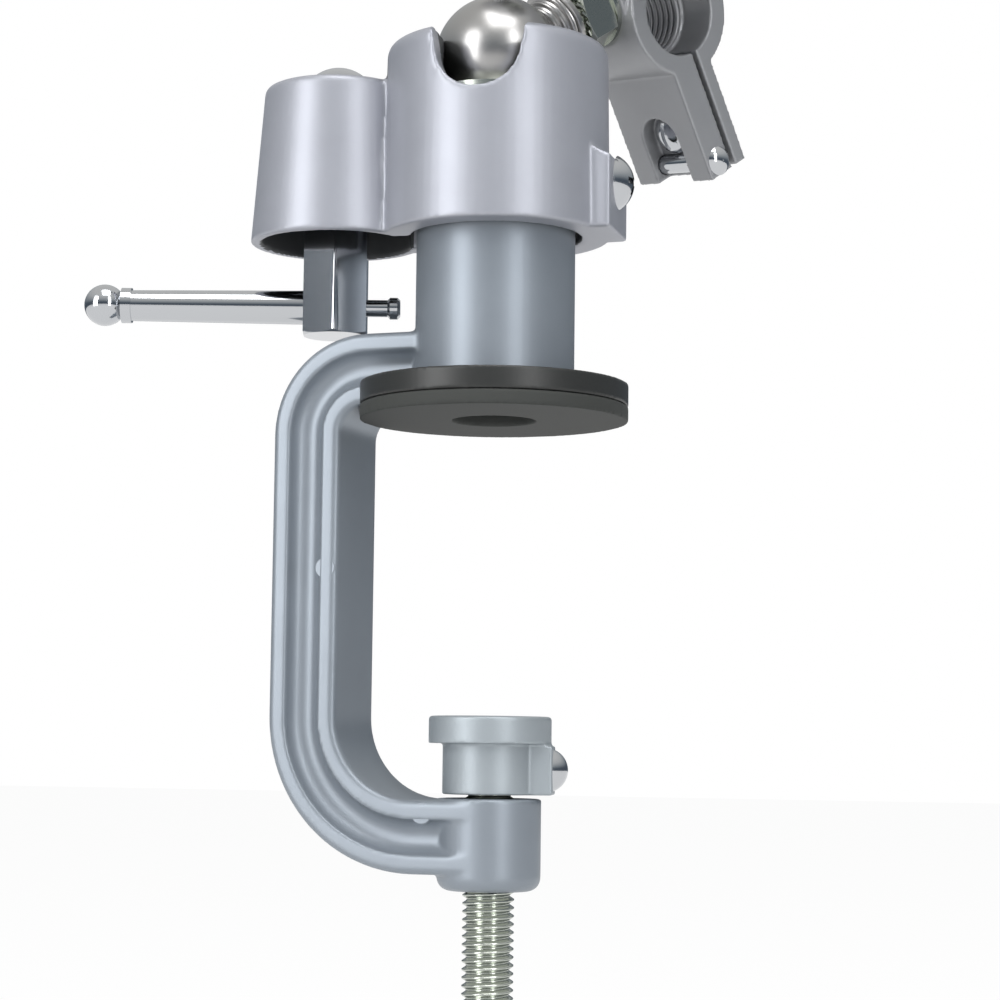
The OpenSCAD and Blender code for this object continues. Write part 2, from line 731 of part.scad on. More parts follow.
module guide_rods() color(chrome) {
    for (s = [-1, 1]) jaw_side(s * rod_gap / 2, axis_z) difference() {
        translate([0, 0, rod_inset + seat_gap])
            cylinder(r = rod_r, h = rod_end - rod_inset - 2 * seat_gap);
        translate([0, 0, rod_end - 6]) cylinder(r = small_screw_r + seat_gap, h = 7);
    }
}

module end_plate() color(cast_grey) difference() {
    on_stud() translate([-plate_back, -plate_w / 2, plate_low])
        cube([plate_t, plate_w, plate_high - plate_low]);
    for (s = [-1, 1]) jaw_side(s * rod_gap / 2, axis_z) {
        translate([0, 0, plate_face - 1]) cylinder(r = rod_r + seat_gap, h = plate_t);
        cylinder(r = small_screw_r + seat_gap, h = plate_back + 1);
    }
    jaw_side(0, axis_z) translate([0, 0, plate_face - 1])
        cylinder(r = lead_r + run_gap, h = plate_t + 2);
}

module rod_screws() color(zinc) {
    for (s = [-1, 1]) jaw_side(s * rod_gap / 2, axis_z) {
        translate([0, 0, rod_end - 5]) cylinder(r = small_screw_r, h = plate_back - rod_end + 5);
        translate([0, 0, plate_back]) difference() {
            round_head(small_head_r, 1.8);
            translate([0, 0, 1.8]) cross_recess(1.4, 0.9);
        }
    }
}

// Grooved jaw pad with its back on x = 0 and its face towards +X
module grooved_pad() {
    difference() {
        translate([0, -jaw_w / 2 + 1, pad_low])
            cube([jaw_pad_t, jaw_w - 2, pad_high - pad_low]);
        for (z = [pad_low + 3.5, pad_high - 3.5]) translate([jaw_pad_t, 0, z])
            rotate([0, 45, 0]) cube([vee_d, jaw_w + 2, vee_d], center = true);
        translate([jaw_pad_t, 0, (pad_low + pad_high) / 2]) rotate([0, 0, 45])
            cube([2 * vee_d, 2 * vee_d, jaw_w], center = true);
        for (s = [-1, 1]) translate([-1, s * pad_screw_y, pad_screw_z]) rotate([0, 90, 0]) {
            cylinder(r = small_screw_r + seat_gap, h = jaw_pad_t + 2);
            translate([0, 0, jaw_pad_t - 0.7]) cylinder(r = small_head_r + part_gap, h = 3);
        }
    }
}

// The pad's two screws, in the same place
module pad_screws() {
    for (s = [-1, 1]) translate([0, s * pad_screw_y, pad_screw_z]) rotate([0, 90, 0]) {
        translate([0, 0, -pad_screw_l + jaw_pad_t + 0.5])
            cylinder(r = small_screw_r, h = pad_screw_l - 1.8);
        translate([0, 0, jaw_pad_t - 1.7]) difference() {
            cylinder(r = small_head_r, h = 1.2);
            translate([0, 0, 1.2]) cross_recess(1.4, 0.7);
        }
    }
}

module fixed_jaw_pad() color(pad_grey) on_stud() translate([-fixed_face, 0, 0])
    mirror([1, 0, 0]) grooved_pad();

module fixed_pad_screws() color(zinc) on_stud() translate([-fixed_face, 0, 0])
    mirror([1, 0, 0]) pad_screws();

module moving_jaw() color(cast_grey) difference() {
    on_stud() translate([-moving_back, -jaw_w / 2, jaw_low])
        cube([jaw_t, jaw_w, jaw_high - jaw_low]);
    for (s = [-1, 1]) jaw_side(s * rod_gap / 2, axis_z) translate([0, 0, moving_face - 1])
        cylinder(r = rod_r + run_gap, h = jaw_t + 2);
    jaw_side(0, axis_z) {
        translate([0, 0, moving_face - 1]) cylinder(r = lead_r + run_gap, h = jaw_t + 2);
        translate([0, 0, moving_back - 2.2]) cylinder(r = clip_r + 1, h = 4);
    }
    for (s = [-1, 1]) jaw_side(s * pad_screw_y, pad_screw_z)
        translate([0, 0, moving_face - 1]) cylinder(r = small_screw_r + seat_gap,
            h = pad_screw_l - jaw_pad_t + 1);
}

module moving_jaw_pad() color(pad_grey) on_stud() translate([-moving_face, 0, 0])
    grooved_pad();

module moving_pad_screws() color(zinc) on_stud() translate([-moving_face, 0, 0])
    pad_screws();

module lead_screw() color(zinc) difference() {
    jaw_side(0, axis_z) {
        translate([0, 0, journal_end + part_gap])
            cylinder(r = journal_r, h = fixed_pad_face - journal_end);
        ribbed_rod(lead_r, fixed_pad_face, plate_face - 2);
        translate([0, 0, plate_face - 2.5]) cylinder(r = lead_r,
            h = lead_head_face - plate_face + 3);
        translate([0, 0, lead_head_face]) cylinder(r = lead_head_r, h = lead_head_l);
    }
    at_lead_bar() cylinder(r = lead_bar_r + run_gap, h = 3 * lead_head_r, center = true);
}

module lead_screw_clip() color(chrome) jaw_side(0, axis_z) difference() {
    translate([0, 0, plate_face - 1.1]) cylinder(r = clip_r, h = 1);
    translate([0, 0, plate_face - 3]) cylinder(r = lead_r + seat_gap, h = 4);
}

module lead_screw_washer() color(zinc) jaw_side(0, axis_z) difference() {
    translate([0, 0, plate_back]) cylinder(r = lead_head_r, h = lead_washer_t);
    translate([0, 0, plate_back - 1]) cylinder(r = lead_r + run_gap, h = lead_washer_t + 2);
}

// The cross bar of the lead screw lies level when the head is at rest
module at_lead_bar() on_stud() translate([-lead_bar_x, 0, axis_z])
    rotate([lead_bar_turn, 0, 0]) rotate([90, 0, 0]) children();

module lead_bar() color(chrome) at_lead_bar()
    cylinder(r = lead_bar_r, h = lead_bar_l, center = true);

module lead_bar_knobs() color(chrome) at_lead_bar() for (s = [0, 180]) rotate([s, 0, 0])
    translate([0, 0, lead_bar_l / 2]) knob(lead_bar_r, lead_knob_r);

clamp_frame();
pad_disc();
bench_pad();
presser_pad();
presser_screw();
clamp_screw();
clamp_bar();
clamp_bar_knobs();
swivel_housing();
guide_screw();
rocker_arm();
fulcrum_pin();
lock_bolt();
bolt_clip();
bolt_cap();
lock_lever();
ball_seat();
ball_stud();
toothed_washer();
jam_nut();
stud_washer();
head_casting();
pinch_screw();
keeper_pin();
guide_rods();
end_plate();
rod_screws();
fixed_jaw_pad();
fixed_pad_screws();
moving_jaw();
moving_jaw_pad();
moving_pad_screws();
lead_screw();
lead_screw_clip();
lead_screw_washer();
lead_bar();
lead_bar_knobs();
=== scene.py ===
import math
import bmesh
import bpy
from mathutils import Matrix, Vector


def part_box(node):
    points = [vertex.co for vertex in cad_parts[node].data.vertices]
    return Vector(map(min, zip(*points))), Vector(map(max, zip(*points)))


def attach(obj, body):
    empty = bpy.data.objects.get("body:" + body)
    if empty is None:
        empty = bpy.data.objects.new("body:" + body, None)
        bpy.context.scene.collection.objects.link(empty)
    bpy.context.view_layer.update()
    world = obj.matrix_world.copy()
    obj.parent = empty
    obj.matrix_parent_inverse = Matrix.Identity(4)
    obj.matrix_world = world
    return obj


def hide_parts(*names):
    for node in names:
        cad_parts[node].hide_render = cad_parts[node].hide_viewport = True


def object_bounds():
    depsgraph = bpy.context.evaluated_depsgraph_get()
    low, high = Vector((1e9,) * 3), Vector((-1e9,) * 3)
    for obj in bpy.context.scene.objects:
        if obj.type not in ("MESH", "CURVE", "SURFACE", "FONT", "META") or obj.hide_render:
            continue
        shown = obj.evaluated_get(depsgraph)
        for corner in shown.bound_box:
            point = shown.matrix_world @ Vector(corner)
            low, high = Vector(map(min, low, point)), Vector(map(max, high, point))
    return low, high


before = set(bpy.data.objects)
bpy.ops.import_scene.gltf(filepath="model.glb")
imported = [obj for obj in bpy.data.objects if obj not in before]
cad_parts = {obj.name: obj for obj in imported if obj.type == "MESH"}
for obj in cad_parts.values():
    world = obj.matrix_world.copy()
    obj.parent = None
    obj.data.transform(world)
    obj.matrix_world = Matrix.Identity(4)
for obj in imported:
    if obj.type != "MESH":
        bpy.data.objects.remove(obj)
cad_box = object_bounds()
MM = 0.001


# Studio. The camera stands low, a little below the pad of the clamp screw, and looks up
# past the underside of the bench pad. The frame's spine goes back to the left.
LENS_MM = 91.4
CAMERA_DISTANCE = 394 * MM
CAMERA_Z = -51 * MM
CAMERA_TURN = math.radians(20)
CAMERA_PITCH = math.radians(5.6)
CAMERA_ROLL = math.radians(0.67)
CAMERA_PAN = math.radians(-0.16)
camera_data = bpy.data.cameras.new("Studio camera")
camera_data.lens = LENS_MM
camera_data.clip_start = 0.02
camera_data.clip_end = 20
camera = bpy.data.objects.new("Studio camera", camera_data)
bpy.context.collection.objects.link(camera)
camera.matrix_world = (
    Matrix.Translation((CAMERA_DISTANCE * math.sin(CAMERA_TURN),
                        -CAMERA_DISTANCE * math.cos(CAMERA_TURN), CAMERA_Z))
    @ Matrix.Rotation(CAMERA_TURN + CAMERA_PAN, 4, "Z")
    @ Matrix.Rotation(math.pi / 2 + CAMERA_PITCH, 4, "X")
    @ Matrix.Rotation(CAMERA_ROLL, 4, "Z"))
bpy.context.scene.camera = camera
bpy.context.scene.view_settings.view_transform = "Standard"


# Backdrop. White paper, seen as nearly pure white behind the vise and in its metal,
# that still keeps a soft shadow on the floor.
FLOOR_SIZE = 8.0
FLOOR_Z = cad_box[0][2] - 2 * MM
PAPER_GLOW = 0.93


def linear(hex_colour):
    """Turns an sRGB hex colour, such as 7F8B94, into linear RGBA."""
    parts = [int(hex_colour[i:i + 2], 16) / 255 for i in (0, 2, 4)]
    light = [p / 12.92 if p <= 0.04045 else ((p + 0.055) / 1.055) ** 2.4 for p in parts]
    return (*light, 1.0)


def add_node(tree, kind, settings=None, values=None, links=None):
    """Adds a node. settings are its attributes, values and links go to inputs by name or number."""
    made = tree.nodes.new(kind)
    for name, value in (settings or {}).items():
        setattr(made, name, value)
    for name, value in (values or {}).items():
        made.inputs[name].default_value = value
    for name, source in (links or {}).items():
        tree.links.new(source, made.inputs[name])
    return made


def new_material(name):
    """An empty material and its node tree."""
    made = bpy.data.materials.new(name)
    made.use_nodes = True
    made.node_tree.nodes.clear()
    return made, made.node_tree


# Matt paper: no gloss, only a share of glow where the camera or the metal sees it.
paper, tree = new_material("White paper")
matt = add_node(tree, "ShaderNodeBsdfDiffuse", values={"Color": linear("F2F2F2")})
glow = add_node(tree, "ShaderNodeEmission", values={"Color": (1, 1, 1, 1), "Strength": 1.0})
rays = add_node(tree, "ShaderNodeLightPath")
seen = add_node(tree, "ShaderNodeMath", {"operation": "MAXIMUM"},
                links={0: rays.outputs["Is Camera Ray"], 1: rays.outputs["Is Glossy Ray"]})
share = add_node(tree, "ShaderNodeMath", {"operation": "MULTIPLY"}, {1: PAPER_GLOW},
                 {0: seen.outputs[0]})
surface = add_node(tree, "ShaderNodeMixShader",
                   links={0: share.outputs[0], 1: matt.outputs[0], 2: glow.outputs[0]})
add_node(tree, "ShaderNodeOutputMaterial", links={"Surface": surface.outputs[0]})
bpy.ops.mesh.primitive_plane_add(size=FLOOR_SIZE, location=(0, 0, FLOOR_Z))
floor = bpy.context.object
floor.name = "paper_floor"
floor.data.materials.append(paper)


# Room. What the metal mirrors: pale walls and ceiling, and a dark blue-grey band just above
# the horizon, which gives chrome its dark middle line.
world = bpy.data.worlds.new("Studio room")
bpy.context.scene.world = world
world.use_nodes = True
tree = world.node_tree
tree.nodes.clear()
place = add_node(tree, "ShaderNodeTexCoord")
parts = add_node(tree, "ShaderNodeSeparateXYZ", links={0: place.outputs["Generated"]})
heights = add_node(tree, "ShaderNodeMapRange", values={"From Min": -1.0, "From Max": 1.0},
                   links={"Value": parts.outputs["Z"]})
walls = add_node(tree, "ShaderNodeValToRGB", links={"Fac": heights.outputs["Result"]})
ramp = walls.color_ramp
for height, colour in ((0.48, "6E7883"), (0.52, "5C6672"), (0.58, "66707B"), (0.66, "A9B0B5"),
                       (0.78, "E2E4E4"), (0.90, "F6F6F4")):
    stop = ramp.elements.new(height)
    stop.color = linear(colour)
ramp.elements.remove(ramp.elements[0])
ramp.elements.remove(ramp.elements[-1])
room = add_node(tree, "ShaderNodeBackground", values={"Strength": 0.8},
                links={"Color": walls.outputs["Color"]})
white = add_node(tree, "ShaderNodeBackground", values={"Color": (1, 1, 1, 1), "Strength": 1.0})
rays = add_node(tree, "ShaderNodeLightPath")
mixed = add_node(tree, "ShaderNodeMixShader",
                 links={0: rays.outputs["Is Camera Ray"], 1: room.outputs[0], 2: white.outputs[0]})
add_node(tree, "ShaderNodeOutputWorld", links={"Surface": mixed.outputs[0]})


# Lamps. Tall softboxes to the left and right and a soft light above, which give the
# round castings their upright streaks.
def softbox(name, turn_deg, height, distance, size, power):
    """A rectangular lamp that faces the vise; turn_deg counts from the camera, to its right."""
    data = bpy.data.lights.new(name, "AREA")
    data.shape = "RECTANGLE"
    data.size, data.size_y = size
    data.energy = power
    lamp = bpy.data.objects.new(name, data)
    bpy.context.collection.objects.link(lamp)
    turn = CAMERA_TURN + math.radians(turn_deg)
    spot = Vector((distance * math.sin(turn), -distance * math.cos(turn), height))
    lamp.location = spot
    lamp.rotation_euler = (-spot).to_track_quat("-Z", "Y").to_euler()


softbox("Left softbox", turn_deg=-50, height=0.20, distance=0.9, size=(0.35, 0.9), power=6.0)
softbox("Right softbox", turn_deg=30, height=0.25, distance=0.9, size=(0.20, 0.9), power=3.5)
softbox("Top softbox", turn_deg=10, height=1.0, distance=0.4, size=(0.7, 0.7), power=7.0)


# Clamp frame. One die casting, spine, arms, post and boss in one, with a groove down
# each side, sprayed in a blue-grey metallic enamel. The mould leaves every edge rounded,
# and its ejector pins leave two round marks on the near side.
MERGE_MM = 0.002


def cad_copy(node, name):
    """A merged copy of a CAD node's mesh, in the same place."""
    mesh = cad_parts[node].data.copy()
    mesh.name = name
    work = bmesh.new()
    work.from_mesh(mesh)
    bmesh.ops.remove_doubles(work, verts=work.verts, dist=MERGE_MM * MM)
    work.to_mesh(mesh)
    work.free()
    mesh.materials.clear()
    piece = bpy.data.objects.new(name, mesh)
    bpy.context.collection.objects.link(piece)
    return piece


def apply_modifiers(piece):
    """Turns the piece's modifiers into a plain mesh."""
    evaluated = piece.evaluated_get(bpy.context.evaluated_depsgraph_get())
    finished = bpy.data.meshes.new_from_object(evaluated)
    piece.modifiers.clear()
    piece.data = finished
    return piece


def finish_piece(piece, body, slot, material, *nodes):
    """Gives a piece its finish, its body and the CAD nodes that it stands for."""
    piece.data.materials.clear()
    piece.data.materials.append(material)
    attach(piece, body)
    if nodes:
        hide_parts(*nodes)
    return piece


def cast_piece(node, name, body, slot, material, grain_mm, rounds, kept_share=1.0):
    """A moulded piece with rounded edges, from the CAD node's own shape."""
    piece = cad_copy(node, name)
    skin = piece.modifiers.new("Moulded skin", "REMESH")
    skin.mode = "VOXEL"
    skin.voxel_size = grain_mm * MM
    skin.use_smooth_shade = True
    edges = piece.modifiers.new("Rounded edges", "SMOOTH")
    edges.factor = 0.5
    edges.iterations = rounds
    if kept_share < 1:
        piece.modifiers.new("Fewer faces", "DECIMATE").ratio = kept_share
    return finish_piece(apply_modifiers(piece), body, slot, material, node)


def cast_paint(name, colour, rough, metal, grain_mm, grain_depth_mm):
    """Sprayed metallic enamel on a die casting: soft sheen over a fine sand-like grain."""
    made, tree = new_material(name)
    place = add_node(tree, "ShaderNodeTexCoord")
    sand = add_node(tree, "ShaderNodeTexNoise",
                    values={"Scale": 1 / (grain_mm * MM), "Detail": 3.0, "Roughness": 0.6},
                    links={"Vector": place.outputs["Object"]})
    bump = add_node(tree, "ShaderNodeBump",
                    values={"Strength": 1.0, "Distance": grain_depth_mm * MM},
                    links={"Height": sand.outputs["Fac"]})
    clouds = add_node(tree, "ShaderNodeTexNoise",
                      values={"Scale": 1 / (9 * MM), "Detail": 4.0, "Roughness": 0.55},
                      links={"Vector": place.outputs["Object"]})
    dark = tuple(0.92 * c for c in linear(colour)[:3]) + (1.0,)
    light = tuple(min(1.0, 1.06 * c) for c in linear(colour)[:3]) + (1.0,)
    tint = add_node(tree, "ShaderNodeMix", {"data_type": "RGBA"},
                    values={6: dark, 7: light}, links={0: clouds.outputs["Fac"]})
    shader = add_node(tree, "ShaderNodeBsdfPrincipled",
                      values={"Metallic": metal, "Roughness": rough},
                      links={"Base Color": tint.outputs[2], "Normal": bump.outputs["Normal"]})
    add_node(tree, "ShaderNodeOutputMaterial", links={"Surface": shader.outputs[0]})
    return made


# Sprayed enamel with metal flake: a broad soft sheen, and a grain of about half a millimetre,
# drawn coarser than the real one so that it shows.
frame_paint = cast_paint("Blue-grey metallic enamel on cast metal", "878E96",
                         rough=0.42, metal=0.5, grain_mm=0.45, grain_depth_mm=0.010)
cast_piece("clamp_frame", "frame_casting", "frame", "frame_paint", frame_paint,
           grain_mm=0.42, rounds=3)


TURNED_EDGE_DEG = 28


def turned(name, outline, axis, sides=96):
    """A solid turned round an axis frame's Z, from (radius, height) points in mm, low end first."""
    work = bmesh.new()
    rings = []
    for radius, height in outline:
        count = sides if radius > 0 else 1
        rings.append([work.verts.new((radius * MM * math.cos(2 * math.pi * i / sides),
                                      radius * MM * math.sin(2 * math.pi * i / sides),
                                      height * MM)) for i in range(count)])
    for low, high in zip(rings, rings[1:]):
        for i in range(sides):
            j = (i + 1) % sides
            if len(low) == 1:
                work.faces.new((low[0], high[j], high[i]))
            elif len(high) == 1:
                work.faces.new((low[i], low[j], high[0]))
            else:
                work.faces.new((low[i], low[j], high[j], high[i]))
    mesh = bpy.data.meshes.new(name)
    work.to_mesh(mesh)
    work.free()
    mesh.shade_smooth()
    mesh.set_sharp_from_angle(angle=math.radians(TURNED_EDGE_DEG))
    mesh.transform(axis)
    piece = bpy.data.objects.new(name, mesh)
    bpy.context.collection.objects.link(piece)
    return piece


PIN_MARKS = ((-24.9, -23.2), (-8.2, -60.9))
PIN_MARK_R = 1.7
PIN_MARK_IN = 5
PIN_MARK_OUT = 7.92
PIN_MARK_EDGE = 0.15
for number, (mark_x, mark_z) in enumerate(PIN_MARKS):
    axis = Matrix.Translation((mark_x * MM, 0, mark_z * MM)) @ Matrix.Rotation(math.pi / 2, 4, "X")
    mark = turned("pin_mark_%d" % number,
                  [(0, PIN_MARK_IN), (PIN_MARK_R, PIN_MARK_IN),
                   (PIN_MARK_R, PIN_MARK_OUT - PIN_MARK_EDGE),
                   (PIN_MARK_R - PIN_MARK_EDGE, PIN_MARK_OUT), (0, PIN_MARK_OUT)], axis, sides=48)
    finish_piece(mark, "frame", "frame_paint", frame_paint)


# Bench pad. A moulded black plastic disc round the foot of the post, notched for the
# arm, over a black rubber pad whose hole opens into the hollow post.
def moulded(name, colour, rough, grain_mm, grain_depth_mm):
    """Moulded plastic or rubber: one colour and a fine matt grain."""
    made, tree = new_material(name)
    place = add_node(tree, "ShaderNodeTexCoord")
    sand = add_node(tree, "ShaderNodeTexNoise",
                    values={"Scale": 1 / (grain_mm * MM), "Detail": 2.0},
                    links={"Vector": place.outputs["Object"]})
    bump = add_node(tree, "ShaderNodeBump",
                    values={"Strength": 1.0, "Distance": grain_depth_mm * MM},
                    links={"Height": sand.outputs["Fac"]})
    shader = add_node(tree, "ShaderNodeBsdfPrincipled",
                      values={"Base Color": linear(colour), "Roughness": rough},
                      links={"Normal": bump.outputs["Normal"]})
    add_node(tree, "ShaderNodeOutputMaterial", links={"Surface": shader.outputs[0]})
    return made


# Moulded ABS has a low satin sheen, and rubber is dull and a little paler.
black_plastic = moulded("Moulded black ABS plastic", "222322",
                        rough=0.40, grain_mm=0.3, grain_depth_mm=0.004)
black_rubber = moulded("Matt black rubber", "2E302E",
                       rough=0.75, grain_mm=0.25, grain_depth_mm=0.01)
cast_piece("pad_disc", "disc_moulding", "frame", "disc_plastic", black_plastic,
           grain_mm=0.3, rounds=3)
cast_piece("bench_pad", "rubber_pad", "frame", "pad_rubber", black_rubber, grain_mm=0.3, rounds=3)


# Presser pad. A rough silver casting that turns on the end of the clamp screw, kept by
# a chrome round-head screw in its side lug.
# Thinly sprayed silver over a coarse casting: its grain is deeper than the frame's.
presser_paint = cast_paint("Coarse silver enamel on cast metal", "9AA1A6",
                           rough=0.45, metal=0.5, grain_mm=0.6, grain_depth_mm=0.03)
cast_piece("presser_pad", "presser_casting", "presser", "presser_cast", presser_paint,
           grain_mm=0.22, rounds=4)


def plain_metal(name, colour, rough):
    """A bare or plated metal in one colour."""
    made, tree = new_material(name)
    shader = add_node(tree, "ShaderNodeBsdfPrincipled",
                      values={"Base Color": linear(colour), "Metallic": 1.0, "Roughness": rough})
    add_node(tree, "ShaderNodeOutputMaterial", links={"Surface": shader.outputs[0]})
    return made


def dress(material, *nodes):
    """Gives CAD nodes whose shape is right their finish."""
    for node in nodes:
        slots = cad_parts[node].data.materials
        slots.clear()
        slots.append(material)


# Chrome plating over turned steel mirrors the room almost sharply.
chrome = plain_metal("Chrome plate", "C2C4C7", 0.11)
dress(chrome, "presser_screw")


# Clamp screw. A zinc-plated M8 screw with a true rolled thread, and a drilled head for
# the sliding cross bar with its two knobs.
CLAMP_AXIS = Matrix.Identity(4)
THREAD_R = 4 * MM
THREAD_PITCH = 1.25 * MM
THREAD_DEPTH = 0.70 * MM
THREAD_SIDES = 64
RINGS_PER_TURN = 10
# Zinc plate is yellowish grey and blurs what it mirrors.
zinc = plain_metal("Bright zinc plate", "BCC0B8", 0.24)


def socket(tree, name, kind, default):
    """A named input of a geometry tree."""
    made = tree.interface.new_socket(name, in_out="INPUT", socket_type=kind)
    if default is not None:
        made.default_value = default
    return made


def thread_tree():
    """A closed cylinder whose wall follows a screw thread along Z."""
    tree = bpy.data.node_groups.new("Screw thread", "GeometryNodeTree")
    socket(tree, "Radius", "NodeSocketFloat", THREAD_R)
    socket(tree, "Depth", "NodeSocketFloat", THREAD_DEPTH)
    socket(tree, "Pitch", "NodeSocketFloat", THREAD_PITCH)
    socket(tree, "Length", "NodeSocketFloat", 10 * MM)
    socket(tree, "Finish", "NodeSocketMaterial", None)
    tree.interface.new_socket("Geometry", in_out="OUTPUT", socket_type="NodeSocketGeometry")
    given = tree.nodes.new("NodeGroupInput").outputs
    turns = add_node(tree, "ShaderNodeMath", {"operation": "DIVIDE"},
                     links={0: given["Length"], 1: given["Pitch"]})
    rings = add_node(tree, "ShaderNodeMath", {"operation": "MULTIPLY"}, {1: RINGS_PER_TURN},
                     {0: turns.outputs[0]})
    bar = add_node(tree, "GeometryNodeMeshCylinder", values={"Vertices": THREAD_SIDES},
                   links={"Side Segments": rings.outputs[0], "Radius": given["Radius"],
                          "Depth": given["Length"]})
    point = add_node(tree, "ShaderNodeSeparateXYZ",
                     links={0: tree.nodes.new("GeometryNodeInputPosition").outputs[0]})
    angle = add_node(tree, "ShaderNodeMath", {"operation": "ARCTAN2"},
                     links={0: point.outputs["Y"], 1: point.outputs["X"]})
    part_turn = add_node(tree, "ShaderNodeMath", {"operation": "DIVIDE"}, {1: 2 * math.pi},
                         {0: angle.outputs[0]})
    climb = add_node(tree, "ShaderNodeMath", {"operation": "DIVIDE"},
                     links={0: point.outputs["Z"], 1: given["Pitch"]})
    phase = add_node(tree, "ShaderNodeMath", {"operation": "SUBTRACT"},
                     links={0: climb.outputs[0], 1: part_turn.outputs[0]})
    wave = add_node(tree, "ShaderNodeMath", {"operation": "PINGPONG"}, {1: 0.5},
                    {0: phase.outputs[0]})
    flank = add_node(tree, "ShaderNodeMapRange",
                     values={"From Min": 0.06, "From Max": 0.42, "To Min": 1.0, "To Max": 0.0},
                     links={"Value": wave.outputs[0]})
    cut = add_node(tree, "ShaderNodeMath", {"operation": "MULTIPLY"},
                   links={0: flank.outputs["Result"], 1: given["Depth"]})
    share = add_node(tree, "ShaderNodeMath", {"operation": "DIVIDE"},
                     links={0: cut.outputs[0], 1: given["Radius"]})
    factor = add_node(tree, "ShaderNodeMath", {"operation": "SUBTRACT"}, {0: 1.0},
                      {1: share.outputs[0]})
    scaled_x = add_node(tree, "ShaderNodeMath", {"operation": "MULTIPLY"},
                        links={0: point.outputs["X"], 1: factor.outputs[0]})
    scaled_y = add_node(tree, "ShaderNodeMath", {"operation": "MULTIPLY"},
                        links={0: point.outputs["Y"], 1: factor.outputs[0]})
    moved = add_node(tree, "ShaderNodeCombineXYZ",
                     links={0: scaled_x.outputs[0], 1: scaled_y.outputs[0], 2: point.outputs["Z"]})
    shaped = add_node(tree, "GeometryNodeSetPosition",
                      links={"Geometry": bar.outputs["Mesh"], "Position": moved.outputs[0]})
    smooth = add_node(tree, "GeometryNodeSetShadeSmooth", links={"Geometry": shaped.outputs[0]})
    real = add_node(tree, "GeometryNodeRealizeInstances", links={"Geometry": smooth.outputs[0]})
    painted = add_node(tree, "GeometryNodeSetMaterial",
                       links={"Geometry": real.outputs[0], "Material": given["Finish"]})
    add_node(tree, "NodeGroupOutput", links={"Geometry": painted.outputs[0]})
    return tree


def grow(name, tree, inputs, matrix):
    """Runs a geometry tree on an empty mesh and keeps the result as a plain mesh, in place."""
    piece = bpy.data.objects.new(name, bpy.data.meshes.new(name))
    bpy.context.collection.objects.link(piece)
    maker = piece.modifiers.new(tree.name, "NODES")
    maker.node_group = tree
    for item in tree.interface.items_tree:
        if item.item_type == "SOCKET" and item.in_out == "INPUT" and item.name in inputs:
            maker[item.identifier] = inputs[item.name]
    apply_modifiers(piece)
    piece.data.transform(matrix)
    return piece


screw_thread = thread_tree()


def threaded_bar(name, low, high, axis, material, radius=THREAD_R, pitch=THREAD_PITCH,
                 depth=THREAD_DEPTH):
    """A threaded stretch from low to high along an axis frame's Z."""
    middle = Matrix.Translation((0, 0, (low + high) / 2))
    return grow(name, screw_thread, {"Radius": radius, "Depth": depth, "Pitch": pitch,
                                     "Length": high - low, "Finish": material}, axis @ middle)


def kept_stretch(node, name, axis, low, high):
    """The stretch of a CAD node from low to high along an axis frame's Z, closed at its cuts."""
    piece = cad_copy(node, name)
    work = bmesh.new()
    work.from_mesh(piece.data)
    direction = axis.to_3x3() @ Vector((0, 0, 1))
    for height, outwards in ((low, -direction), (high, direction)):
        if height is None:
            continue
        whole = work.verts[:] + work.edges[:] + work.faces[:]
        cut = bmesh.ops.bisect_plane(work, geom=whole, plane_co=axis @ Vector((0, 0, height)),
                                     plane_no=outwards, clear_outer=True)
        edges = [e for e in cut["geom_cut"] if isinstance(e, bmesh.types.BMEdge)]
        bmesh.ops.contextual_create(work, geom=edges)
    work.to_mesh(piece.data)
    work.free()
    return piece


def joined(name, *pieces):
    """Several meshes made into one piece."""
    work = bmesh.new()
    for piece in pieces:
        work.from_mesh(piece.data)
        bpy.data.objects.remove(piece)
    mesh = bpy.data.meshes.new(name)
    work.to_mesh(mesh)
    work.free()
    whole = bpy.data.objects.new(name, mesh)
    bpy.context.collection.objects.link(whole)
    return whole


screw_low, screw_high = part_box("clamp_screw")
CLAMP_HEAD_H = 12 * MM
SCREW_NECK = 13.5 * MM
CUT_LAP = 0.05 * MM
head_top = screw_low.z + CLAMP_HEAD_H
thread_top = screw_high.z - SCREW_NECK
screw = joined(
    "clamp_screw_turned",
    kept_stretch("clamp_screw", "clamp_screw_head", CLAMP_AXIS, None, head_top + CUT_LAP),
    threaded_bar("clamp_screw_thread", head_top, thread_top, CLAMP_AXIS, zinc),
    kept_stretch("clamp_screw", "clamp_screw_tip", CLAMP_AXIS, thread_top - CUT_LAP, None))
finish_piece(screw, "clamp_spindle", "zinc_plate", zinc, "clamp_screw")
dress(chrome, "clamp_bar", "clamp_bar_knobs")


# Swivel housing. A silver-grey die casting that turns on the post, with the ball's
# socket and notched rim on top, a hollow lobe for the lock and a square ear.
INWARDS = -0.3


def paint_shade_inside(piece, material, centre, reach):
    """Gives the faces that look at an upright axis from within reach of it a second material, the
    painted shade.
    """
    if material.name not in piece.data.materials:
        piece.data.materials.append(material)
    for face in piece.data.polygons:
        across = face.center.xy - centre
        if across.length < reach and face.normal.xy.dot(across) < INWARDS * across.length:
            face.material_index = 1
